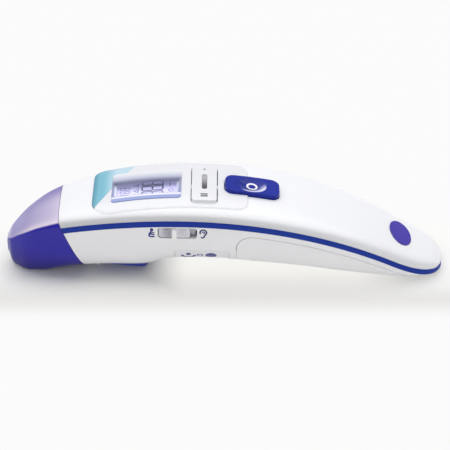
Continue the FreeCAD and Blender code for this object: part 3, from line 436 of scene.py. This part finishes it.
def button_finish():
    """Deep blue gloss, darker in the dish as painted shade. The dish's near and tail side
    carries a pale crescent, a painted highlight.
    """
    s = Shader("button_blue")
    bsdf = s.surface(Coat_Weight=0.2, Coat_Roughness=COAT_ROUGH, Specular_IOR_Level=0.1)
    middle = mid("scan_button").x
    long, wide = REACH * DISH_LONG, REACH * DISH_WIDE
    right = s.remap(s.axis("X"), middle - long, middle + long, -REACH, REACH)
    away = s.remap(s.axis("Y"), -wide, wide, -REACH, REACH)
    reach = s.math("SQRT", s.math("ADD", s.times(right, right), s.times(away, away)))
    # painted highlight: a pale crescent inside the dish's rim, on its near and tail side
    turn = s.math("SUBTRACT", s.times(right, 0.6), s.times(away, 0.8))
    past_floor = s.remap(reach, 0.40, 0.85, 0.0, 1.0, True)
    within_rim = s.remap(reach, 0.94, 1.0, 1.0, 0.0, True)
    facing = s.remap(turn, 0.1, 0.8, 0.0, 0.95, True)
    crescent_highlight = s.times(s.times(past_floor, within_rim), facing)
    # painted shade: darker inside the dish
    dish_shade_mask = s.remap(reach, 0.96, 1.02, 1.0, 0.0, True)
    flow = s.noise(38, 4, 0.55)
    body = s.fade(flow, *NOISE, linear(25, 40, 146), linear(28, 46, 158), smooth=False)
    body = s.mix(s.times(dish_shade_mask, 0.35), body, linear(16, 26, 120))
    s.link(s.mix(crescent_highlight, body, linear(226, 227, 250)), bsdf.inputs["Base Color"])
    s.link(s.uneven(s.noise(900, 2, 0.6), 0.12, 0.17), bsdf.inputs["Roughness"])
    s.link(s.softened(0.35), bsdf.inputs["Normal"])
    return s.finish(bsdf.outputs[0])


def inlay_finish():
    """The key's sunk inlay: brushed metal, with painted shade at the near end and a painted
    highlight at the far end.
    """
    s = Shader("inlay_grey")
    bsdf = s.surface(Metallic=0.6)
    along = s.along("key_inlay", "Y")
    # painted shade at the near end, turning to a painted highlight at the far end
    body = s.fade(along, 0.15, 0.85, linear(84, 80, 84), linear(178, 176, 182))
    s.link(body, bsdf.inputs["Base Color"])
    brushed = s.noise(2200, 2, 0.5, (1, 12, 1))
    s.link(s.uneven(brushed, 0.24, 0.36), bsdf.inputs["Roughness"])
    return s.finish(bsdf.outputs[0])


def cell_finish():
    """A dry cell's printed film jacket: dark body with a plain coloured end, no lettering."""
    s = Shader("cell_jacket")
    bsdf = s.surface(Coat_Weight=0.4)
    along = s.along("near_cell", "X")
    body = s.fade(along, 0.30, 0.305, linear(186, 140, 60), linear(38, 42, 54), smooth=False)
    s.link(body, bsdf.inputs["Base Color"])
    s.link(s.uneven(s.noise(600, 3, 0.6), 0.2, 0.32), bsdf.inputs["Roughness"])
    return s.finish(bsdf.outputs[0])


display_lit = display_finish()
FINISHES = (
    (shell_white, ["upper_shell"]),
    (shell_grey, ["lower_shell", "battery_door"]),
    (band_blue, ["trim_band"]),
    (cap_finish(), ["protective_cap"]),
    (probe_white, ["probe_nose"]),
    (fascia_white, ["fascia"]),
    (corner_finish(), ["fascia_corner"]),
    (lens_finish(), ["display_lens"]),
    # the probe window shares the display's glow, which on it is painted light
    (display_lit, ["lcd_glass", "probe_window"]),
    (key_white, ["rocker_key"]),
    (inlay_finish(), ["key_inlay"]),
    (button_finish(), ["scan_button"]),
    (slider_finish(), ["mode_slider"]),
    (switch_grey, ["slide_switch"]),
    (trigger_blue, ["finger_trigger"]),
    (badge_blue, ["tail_badge"]),
    (label_film, ["label_plate"]),
    (holder_white, ["lcd_backlight", "lcd_holder"]),
    (pink_rubber, ["lcd_contact_strip"]),
    (board_green, ["main_board", "sensor_board"]),
    (amber_film, ["sensor_ribbon"]),
    (gold, ["ear_waveguide"]),
    (aluminium, ["sensor_block"]),
    (steel, ["sensor_can", "board_screws", "trigger_pin"]),
    (nickel, ["bridge_contact", "near_contact", "far_contact", "front_spring", "rear_spring"]),
    (cell_finish(), ["near_cell", "far_cell"]),
    (black_plastic, ["scan_switch", "near_key_switch", "far_key_switch", "trigger_switch",
                     "processor", "buzzer", "battery_tray"]),
)
CREASE = math.radians(28)    # a sharper turn than this stays a hard edge
for material, names in FINISHES:
    for name in names:
        mesh = nodes[name].data
        mesh.materials.clear()
        mesh.materials.append(material)
        for face in mesh.polygons:
            face.use_smooth = True
        mesh.set_sharp_from_angle(angle=CREASE)


# ---------------------------------------------------------------- printed marks
def disc(x, y, radius, count=20, stretch=1.0):
    """A round or oval dot."""
    turns = [2 * math.pi * k / count for k in range(count)]
    return [(x + radius * math.cos(t), y + radius * stretch * math.sin(t)) for t in turns]


def arc(x, y, radius, start, end, count=16):
    """Points along part of a circle, angles in degrees."""
    steps = [math.radians(start + (end - start) * k / count) for k in range(count + 1)]
    return [(x + radius * math.cos(a), y + radius * math.sin(a)) for a in steps]


def stroke(points, width):
    """A flat line of constant width with round ends, as a list of polygons."""
    shapes = []
    for (x0, y0), (x1, y1) in zip(points, points[1:]):
        length = math.hypot(x1 - x0, y1 - y0) or 1e-9
        nx, ny = -(y1 - y0) / length * width / 2, (x1 - x0) / length * width / 2
        shapes.append([(x0 + nx, y0 + ny), (x0 - nx, y0 - ny),
                       (x1 - nx, y1 - ny), (x1 + nx, y1 + ny)])
    return shapes + [disc(x, y, width / 2, 10) for x, y in points]


FAR_OFF = 50 * MM    # how far off the rays start that press a mark on
SPLITS = 4           # how often, at most, a mark's long edges are halved


def printed(name, shapes, origin, u, v, body, material, target, lift=0.03, fine=0.5):
    """Marks drawn in a plane and pressed onto a CAD node, as a thin film just proud of it.

    shapes, lift and fine, the length above which an edge is halved, are in mm.
    """
    look = u.cross(v).normalized()
    made = bmesh.new()
    made.from_mesh(nodes[target].data)
    tree = BVHTree.FromBMesh(made)
    made.free()
    made = bmesh.new()
    for shape in shapes:
        made.faces.new([made.verts.new(origin + u * (x * MM) + v * (y * MM)) for x, y in shape])
    bmesh.ops.triangulate(made, faces=made.faces[:])
    for _ in range(SPLITS):
        long_edges = [e for e in made.edges if e.calc_length() > fine * MM]
        if not long_edges:
            break
        bmesh.ops.subdivide_edges(made, edges=long_edges, cuts=1)
        bmesh.ops.triangulate(made, faces=made.faces[:])
    for vert in made.verts:
        hit, normal, _, _ = tree.ray_cast(vert.co + look * FAR_OFF, -look)
        if hit is not None:
            side = normal if normal.dot(look) > 0 else -normal
            vert.co = hit + side * (lift * MM)
    bmesh.ops.recalc_face_normals(made, faces=made.faces[:])
    mesh = bpy.data.meshes.new(name)
    made.to_mesh(mesh)
    made.free()
    mesh.materials.append(material)
    for face in mesh.polygons:
        face.use_smooth = True
    obj = bpy.data.objects.new(name, mesh)
    bpy.context.scene.collection.objects.link(obj)
    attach(obj, body)


# side marks: a seated figure before the slider and an ear behind it, seen from the near side
PERSON_GAP, EAR_GAP = 2.6 * MM, 4.7 * MM    # from the slider's ends to the marks' middles
slot_low, slot_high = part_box("mode_slider")
mark_z = (slot_low.z + slot_high.z) / 2
figure = [disc(0.2, 1.35, 0.62, 16)]
figure += stroke([(-0.1, 0.6), (-0.25, -0.5), (0.9, -0.75)], 0.62)
figure += stroke([(0.0, 0.35), (0.95, 0.1)], 0.45)
figure += stroke([(-0.6, -0.2), (-0.75, -1.5), (0.2, -1.75), (0.9, -1.65)], 0.6)
ear = stroke(arc(0.0, 0.55, 1.15, 200, -45), 0.55)
lobe = [(0.81, -0.26), (0.45, -0.85), (0.25, -1.4)] + arc(-0.25, -1.35, 0.5, 0, -150, 8)
ear += stroke(lobe, 0.55)
ear += stroke(arc(0.0, 0.5, 0.42, 170, -60, 10), 0.4)
side_marks = (
    ("person_mark", figure, slot_low.x - PERSON_GAP),
    ("ear_mark", ear, slot_high.x + EAR_GAP),
)
for name, shapes, mark_x in side_marks:
    place = Vector((mark_x, 0, mark_z))
    printed(name, shapes, place, X, Z, "wand", navy_ink, "lower_shell")

# label: three plain shapes
LABEL_DROP = 0.9 * MM
label = mid("label_plate")
glyphs = stroke(arc(-4.8, 1.9, 2.3, 195, 345, 10), 1.1)
glyphs += [disc(-4.8, 2.4, 0.85)]
glyphs += stroke([(-1.5, 2.4), (-1.5, 0.9), (0.1, 0.9), (0.1, 2.4), (-1.5, 2.4)], 0.34)
glyphs += [disc(3.2, 1.5, 2.0, 24, 0.9)]
place = Vector((label.x, 0, label.z - LABEL_DROP))
printed("label_marks", glyphs, place, X, Z, "wand", navy_ink, "label_plate")

# rocker key: two plain dashes at the near end, a faint plus at the far end
NEAR_MARK, FAR_MARK = -8.6 * MM, 8.1 * MM
key_x = mid("rocker_key").x
dashes = stroke([(-1.0, 0.58), (1.0, 0.58)], 0.7) + stroke([(-1.0, -0.58), (1.0, -0.58)], 0.7)
plus = stroke([(-0.6, 0), (0.6, 0)], 0.22) + stroke([(0, -0.6), (0, 0.6)], 0.22)
key_marks = (
    ("key_near_mark", dashes, NEAR_MARK, dark_ink),
    ("key_far_mark", plus, FAR_MARK, grey_ink),
)
for name, shapes, mark_y, film in key_marks:
    place = Vector((key_x, mark_y, 0))
    printed(name, shapes, place, X, Y, "rocker", film, "rocker_key")

# scan button: a ring in the dish
RING_OUTER, RING_INNER = 2.05, 1.3
RING_STEPS = 40
RING_SHIFT = 0.4 * MM
outer = arc(0, 0, RING_OUTER, 0, 360, RING_STEPS)
inner = arc(0, 0, RING_INNER, 0, 360, RING_STEPS)
ring = [[outer[k], outer[k + 1], inner[k + 1], inner[k]] for k in range(RING_STEPS)]
place = Vector((mid("scan_button").x + RING_SHIFT, 0, 0))
printed("scan_ring", ring, place, X, Y, "scan", white_ink, "scan_button",
        fine=0.9)


# display: a full set of seven-segment figures and plain symbols
FULL = "abcdefg"
FIGURE_WIDTH, FIGURE_LINE = 0.36, 0.075    # as parts of a figure's height
END_GAP = 0.6                              # at a segment's ends, in line widths


def seven(x, y, size, lit):
    """One seven-segment figure, its lower left corner at x, y."""
    w, h, t = size * FIGURE_WIDTH, size, size * FIGURE_LINE
    ends = {
        "a": ((0, h), (w, h)), "b": ((w, h), (w, h / 2)), "c": ((w, h / 2), (w, 0)),
        "d": ((0, 0), (w, 0)), "e": ((0, 0), (0, h / 2)), "f": ((0, h / 2), (0, h)),
        "g": ((0, h / 2), (w, h / 2)),
    }
    shapes = []
    for letter in lit:
        (x0, y0), (x1, y1) = ends[letter]
        length = math.hypot(x1 - x0, y1 - y0)
        dx, dy = (x1 - x0) / length * t * END_GAP, (y1 - y0) / length * t * END_GAP
        shapes += stroke([(x + x0 + dx, y + y0 + dy), (x + x1 - dx, y + y1 - dy)], t)
    return shapes


def row(x, y, step, size, segments):
    """A row of seven-segment figures, the first one's lower left corner at x, y."""
    shapes = []
    for k, lit in enumerate(segments):
        shapes += seven(x + k * step, y, size, lit)
    return shapes


figures = row(x=-6.6, y=-5.4, step=3.5, size=7.4, segments=["bc", FULL, FULL, FULL])
figures += [disc(3.3, -5.4, 0.35)]
figures += row(x=-5.0, y=6.4, step=2.2, size=3.4, segments=[FULL] * 4)
SYMBOL_LINES = (
    [(-6.8, 3.4), (-4.0, 3.4), (-4.0, 4.8), (-6.8, 4.8), (-6.8, 3.4)],
    [(-0.4, 3.4), (0.6, 4.9), (1.6, 3.4), (-0.4, 3.4)],
    [(2.6, 3.5), (5.4, 3.5)],
    [(4.0, 3.5), (4.0, 5.0)],
    [(-5.8, -7.6), (-4.4, -9.4), (-3.0, -7.6)],
    [(2.0, -8.0), (5.6, -8.0)],
    arc(-0.4, -8.4, 0.8, 0, 360, 14),
)
SYMBOL_WIDTH = 0.25
for line in SYMBOL_LINES:
    figures += stroke(line, SYMBOL_WIDTH)
place = Vector((mid("lcd_glass").x, 0, 0))
printed("display_figures", figures, place, Y, -X, "wand", lcd_ink, "lcd_glass",
        lift=0.02, fine=3.0)


# ---------------------------------------------------------------- floor, lights and camera
PLAIN_WHITE = linear(251, 251, 251)
FLOOR_SIZE = 6.0
BEHIND = (-0.5, 0.6)      # the far-side part of a direction: least light, most light
AMBIENT = (0.40, 0.60)    # the least and the most light


def lay_floor():
    """A pale floor that glows to white away from the wand, and under its arch as painted light.

    Camera rays see the glow, and gloss and glass show it. It lights nothing else.
    """
    bpy.ops.mesh.primitive_plane_add(size=FLOOR_SIZE, location=(0, 0, 0))
    floor = bpy.context.object
    floor.name = "floor"
    s = Shader("floor_pale")
    diffuse = s.add("ShaderNodeBsdfDiffuse")
    diffuse.inputs["Color"].default_value = linear(244, 244, 242)
    light = s.add("ShaderNodeEmission")
    path = s.add("ShaderNodeLightPath").outputs
    seen = s.largest(path["Is Camera Ray"], path["Is Glossy Ray"], path["Is Transmission Ray"])
    along, across = s.axis("X"), s.axis("Y")
    off_long, off_side = s.math("ABSOLUTE", along), s.math("ABSOLUTE", across)
    # where it glows: before and behind the wand, past its ends, and under its arch as painted light
    sideways = s.remap(off_side, 0.008, 0.026, 0.0, 0.98, True)
    lengthways = s.remap(off_long, 0.070, 0.100, 0.0, 0.98, True)
    # painted light: the floor under the arch glows where the wand's shadow falls
    arch_start = s.remap(along, -0.030, -0.012, 0.0, 1.0, True)
    arch_end = s.remap(along, 0.045, 0.075, 0.9, 0.4, True)
    glows = s.largest(sideways, lengthways, s.times(arch_start, arch_end))
    # its colour: a little grey and warm close to the wand, as painted shade; plain white further
    # off
    in_front = s.remap(across, -0.036, -0.022, 1.0, 0.0, True)
    behind = s.remap(across, 0.012, 0.030, 0.0, 1.0, True)
    beside = s.remap(off_long, 0.078, 0.105, 0.0, 1.0, True)
    # painted shade: the glow is greyer just in front of the wand
    pale = s.fade(across, -0.020, -0.002, linear(230, 229, 227), linear(252, 251, 247))
    s.link(s.mix(s.largest(behind, in_front, beside), pale, PLAIN_WHITE), light.inputs["Color"])
    surface = s.blend(s.times(seen, glows), diffuse.outputs[0], light.outputs[0])
    floor.data.materials.append(s.finish(surface))


def light_world():
    """Soft light from all round, stronger from behind, and a plain white backdrop."""
    world = bpy.data.worlds.new("studio")
    bpy.context.scene.world = world
    world.use_nodes = True
    tree = world.node_tree
    tree.nodes.clear()
    output = tree.nodes.new("ShaderNodeOutputWorld")
    ambient = tree.nodes.new("ShaderNodeBackground")
    ambient.inputs["Color"].default_value = (0.97, 0.98, 1.0, 1)
    facing = tree.nodes.new("ShaderNodeTexCoord")
    split = tree.nodes.new("ShaderNodeSeparateXYZ")
    tree.links.new(facing.outputs["Generated"], split.inputs[0])
    behind = tree.nodes.new("ShaderNodeMapRange")
    behind.interpolation_type = "SMOOTHSTEP"
    for i, v in enumerate(BEHIND + AMBIENT, start=1):
        behind.inputs[i].default_value = v
    tree.links.new(split.outputs["Y"], behind.inputs[0])
    tree.links.new(behind.outputs[0], ambient.inputs["Strength"])
    backdrop = tree.nodes.new("ShaderNodeBackground")
    backdrop.inputs["Color"].default_value = PLAIN_WHITE
    backdrop.inputs["Strength"].default_value = 1.0
    path = tree.nodes.new("ShaderNodeLightPath")
    mix = tree.nodes.new("ShaderNodeMixShader")
    sockets = (path.outputs["Is Camera Ray"], ambient.outputs[0], backdrop.outputs[0])
    for source, socket in zip(sockets, mix.inputs):
        tree.links.new(source, socket)
    tree.links.new(mix.outputs[0], output.inputs["Surface"])


def lamp(name, place, aim, wide, deep, power):
    """A soft rectangular lamp aimed at a point."""
    data = bpy.data.lights.new(name, "AREA")
    data.shape = "RECTANGLE"
    data.size, data.size_y = wide, deep
    data.energy = power
    obj = bpy.data.objects.new(name, data)
    obj.location = place
    obj.rotation_euler = (Vector(aim) - Vector(place)).to_track_quat("-Z", "Y").to_euler()
    bpy.context.scene.collection.objects.link(obj)


lay_floor()
light_world()
lamp("top_softbox", place=(0.02, 0.22, 0.60), aim=(0, 0.05, 0.01), wide=1.1, deep=0.8, power=4.0)
lamp("front_fill", place=(-0.1, -0.7, 0.35), aim=(0, 0, 0.015), wide=0.9, deep=0.6, power=0.9)

ELEVATION = math.radians(34.5)
DISTANCE = 0.65
SENSOR = 36.0                # mm, as the camera takes it
VIEW_WIDTH = 163.125 * MM    # what the picture takes in at the wand
LOOK_AT = Vector((0.3 * MM, 0, 15 * MM))
RAISE = 0.7 * MM             # how far the picture's middle is above that point
back = Vector((0, -math.cos(ELEVATION), math.sin(ELEVATION)))
up = Vector((0, math.sin(ELEVATION), math.cos(ELEVATION)))
aim = LOOK_AT + up * RAISE
camera_data = bpy.data.cameras.new("camera")
camera_data.sensor_width = SENSOR
camera_data.lens = SENSOR * DISTANCE / VIEW_WIDTH
camera_data.clip_start = 0.01
camera_data.clip_end = 20.0
camera = bpy.data.objects.new("camera", camera_data)
camera.location = aim + back * DISTANCE
camera.rotation_mode = "QUATERNION"
camera.rotation_quaternion = (-back).to_track_quat("-Z", "Y")
bpy.context.scene.collection.objects.link(camera)
bpy.context.scene.camera = camera
bpy.context.scene.view_settings.view_transform = "Standard"
